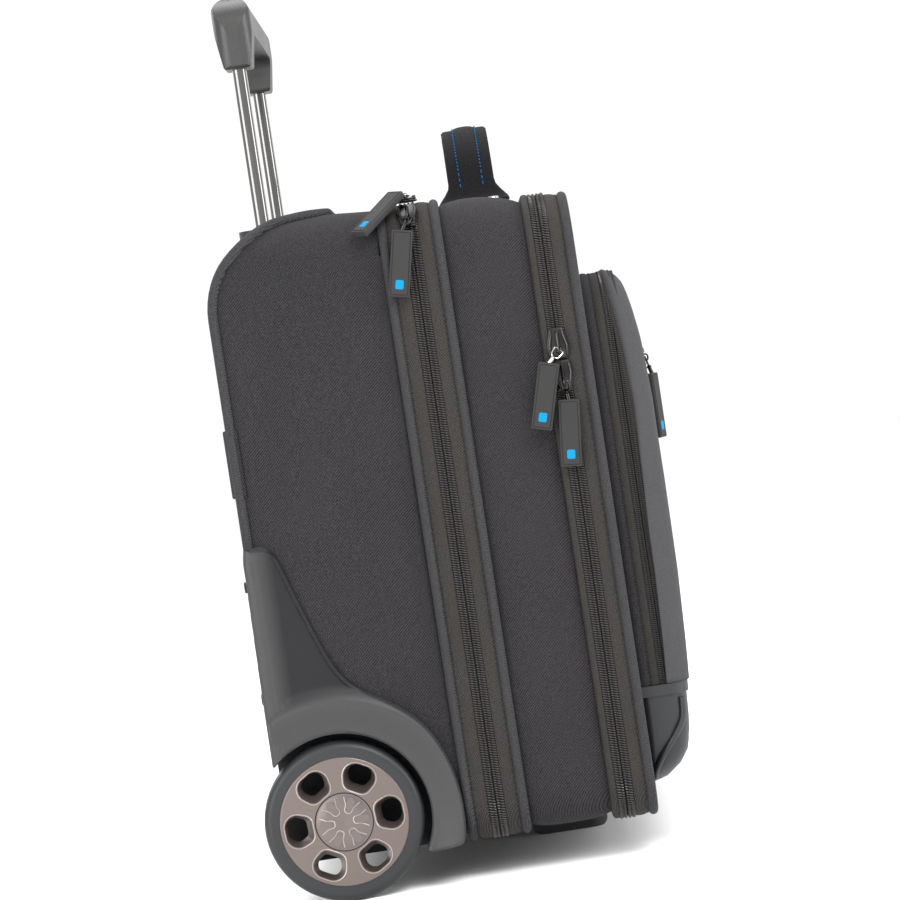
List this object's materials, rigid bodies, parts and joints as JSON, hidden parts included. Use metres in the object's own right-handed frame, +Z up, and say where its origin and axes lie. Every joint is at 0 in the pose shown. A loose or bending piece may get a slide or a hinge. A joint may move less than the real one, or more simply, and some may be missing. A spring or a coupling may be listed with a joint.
{
  "type": "rolling laptop case",
  "caption": "Upright soft laptop case on two wheels with a telescopic trolley handle, padded carry handle, zipped sections and a front pocket",
  "frame": {"origin": "on the floor, in the middle of the width and of the whole depth", "axes": "+Z up, +X to the case's right, -Y towards the front pocket, +Y towards the wheels and trolley handle"},
  "size_m": [0.4496, 0.2634, 0.531],
  "materials": {
    "twill": "fine charcoal twill",
    "zip_tape": "woven brown-grey tape",
    "piping": "covered cord",
    "coated_panel": "coated, satin",
    "lining": "padded lining",
    "moulding": "satin, fine grain",
    "steel": "zinc plated",
    "tube_outer": "anodised",
    "tube_middle": "anodised",
    "tube_inner": "bright anodised",
    "grip": "soft touch",
    "button": "satin",
    "tyre": "matt",
    "rim": "champagne metallic paint",
    "carry_webbing": "padded webbing",
    "rivet": "polished",
    "zip_metal": "gunmetal gloss",
    "tag": "moulded, matt"
  },
  "bodies": {
    "case_back": {"back_shell": "twill", "handle_cover": "lining", "back_piping": "piping", "back_strap": "twill", "zip1_back_band": "zip_tape", "bezel": "moulding", "bracket": "moulding", "base_plate": "moulding", "housing_screws": "steel", "wheel_housing_left": "moulding", "wheel_housing_right": "moulding", "axle_bolts": "steel", "outer_tubes": "tube_outer", "zip1_side_slider": "zip_metal", "zip1_top_slider": "zip_metal"},
    "middle_stage": {"middle_tubes": "tube_middle", "middle_collars": "moulding"},
    "handle": {"inner_tubes": "tube_inner", "lock_blocks": "moulding", "grip_front": "grip", "grip_back": "grip", "grip_screws": "steel"},
    "button": {"release_button": "button"},
    "wheel_left": {"tyre_left": "tyre", "rim_left": "rim", "hub_cap_left": "rim", "bearings_left": "steel"},
    "wheel_right": {"tyre_right": "tyre", "rim_right": "rim", "hub_cap_right": "rim", "bearings_right": "steel"},
    "middle_section": {"middle_shell": "twill", "zip1_front_band": "zip_tape", "zip2_back_band": "zip_tape", "laptop_pad": "lining", "carry_handle": "carry_webbing", "handle_rivets": "rivet", "front_foot": "moulding"},
    "front_lid": {"zip2_front_band": "zip_tape", "front_panel": "twill", "pocket_gusset": "twill", "pocket_base": "coated_panel"},
    "pocket_front": {"pocket_flap": "twill", "slip_zip": "zip_tape"},
    "zip2_upper_runner": {"zip2_upper_slider": "zip_metal"},
    "zip2_lower_runner": {"zip2_lower_slider": "zip_metal"},
    "pocket_runner": {"pocket_slider": "zip_metal"},
    "slip_runner": {"slip_slider": "zip_metal"},
    "zip1_side_pull": {"zip1_side_link": "zip_metal", "zip1_side_tag": "tag"},
    "zip1_top_pull": {"zip1_top_link": "zip_metal", "zip1_top_tag": "tag"},
    "zip2_upper_pull": {"zip2_upper_link": "zip_metal", "zip2_upper_tag": "tag"},
    "zip2_lower_pull": {"zip2_lower_link": "zip_metal", "zip2_lower_tag": "tag"},
    "pocket_pull": {"pocket_link": "zip_metal", "pocket_tag": "tag"},
    "slip_pull": {"slip_link": "zip_metal", "slip_tag": "tag"}
  },
  "joints": [
    {"name": "wheel_left_spin", "type": "hinge", "parent": "case_back", "child": "wheel_left", "pos_m": [-0.2086, 0.084, 0.046], "axis": [1, 0, 0], "continuous": true},
    {"name": "wheel_right_spin", "type": "hinge", "parent": "case_back", "child": "wheel_right", "pos_m": [0.2086, 0.084, 0.046], "axis": [1, 0, 0], "continuous": true},
    {"name": "handle_stage_one", "type": "slide", "parent": "case_back", "child": "middle_stage", "axis": [0, 0, 1], "range_m": [0, 0.28]},
    {"name": "handle_stage_two", "type": "slide", "parent": "middle_stage", "child": "handle", "axis": [0, 0, 1], "range_m": [-0.09, 0.19]},
    {"name": "release_button_press", "type": "slide", "parent": "handle", "child": "button", "axis": [0, 0, -1], "range_m": [0, 0.004], "stiffness_N_per_m": 600, "springref_m": -0.004},
    {"name": "main_section_open", "type": "hinge", "parent": "case_back", "child": "middle_section", "pos_m": [0, -0.003, 0.0205], "axis": [1, 0, 0], "range_deg": [0, 90]},
    {"name": "front_lid_open", "type": "hinge", "parent": "middle_section", "child": "front_lid", "pos_m": [0, -0.0765, 0.0205], "axis": [1, 0, 0], "range_deg": [0, 90]},
    {"name": "pocket_front_open", "type": "hinge", "parent": "front_lid", "child": "pocket_front", "pos_m": [0, -0.1224, 0.09515], "axis": [1, 0, 0], "range_deg": [0, 45]},
    {"name": "zip2_upper_run", "type": "slide", "parent": "middle_section", "child": "zip2_upper_runner", "axis": [0, 0, 1], "range_m": [0, 0.055]},
    {"name": "zip2_lower_run", "type": "slide", "parent": "middle_section", "child": "zip2_lower_runner", "axis": [0, 0, -1], "range_m": [0, 0.22]},
    {"name": "pocket_run", "type": "slide", "parent": "front_lid", "child": "pocket_runner", "axis": [0, 0, -1], "range_m": [0, 0.17]},
    {"name": "slip_run", "type": "slide", "parent": "pocket_front", "child": "slip_runner", "axis": [1, 0, 0], "range_m": [0, 0.3]},
    {"name": "zip1_side_pull_swing", "type": "hinge", "parent": "case_back", "child": "zip1_side_pull", "pos_m": [-0.21494, -0.003, 0.38028], "axis": [0.284, 0.9158, 0.284], "range_deg": [0, 90]},
    {"name": "zip1_top_pull_swing", "type": "hinge", "parent": "case_back", "child": "zip1_top_pull", "pos_m": [-0.192, -0.003, 0.3931], "axis": [0.4594, 0.8882, 0], "range_deg": [0, 60]},
    {"name": "zip2_upper_pull_swing", "type": "hinge", "parent": "zip2_upper_runner", "child": "zip2_upper_pull", "pos_m": [-0.2221, -0.0765, 0.293], "axis": [0, 0.6796, 0.7336], "range_deg": [0, 110]},
    {"name": "zip2_lower_pull_swing", "type": "hinge", "parent": "zip2_lower_runner", "child": "zip2_lower_pull", "pos_m": [-0.2221, -0.0765, 0.2745], "axis": [0, 1, 0], "range_deg": [0, 110]},
    {"name": "pocket_pull_swing", "type": "hinge", "parent": "pocket_runner", "child": "pocket_pull", "pos_m": [0.2056, -0.1095, 0.286], "axis": [0, -1, 0], "range_deg": [0, 110]},
    {"name": "slip_pull_swing", "type": "hinge", "parent": "slip_runner", "child": "slip_pull", "pos_m": [-0.154, -0.12726, 0.281], "axis": [-1, 0, 0], "range_deg": [0, 110]}
  ]
}
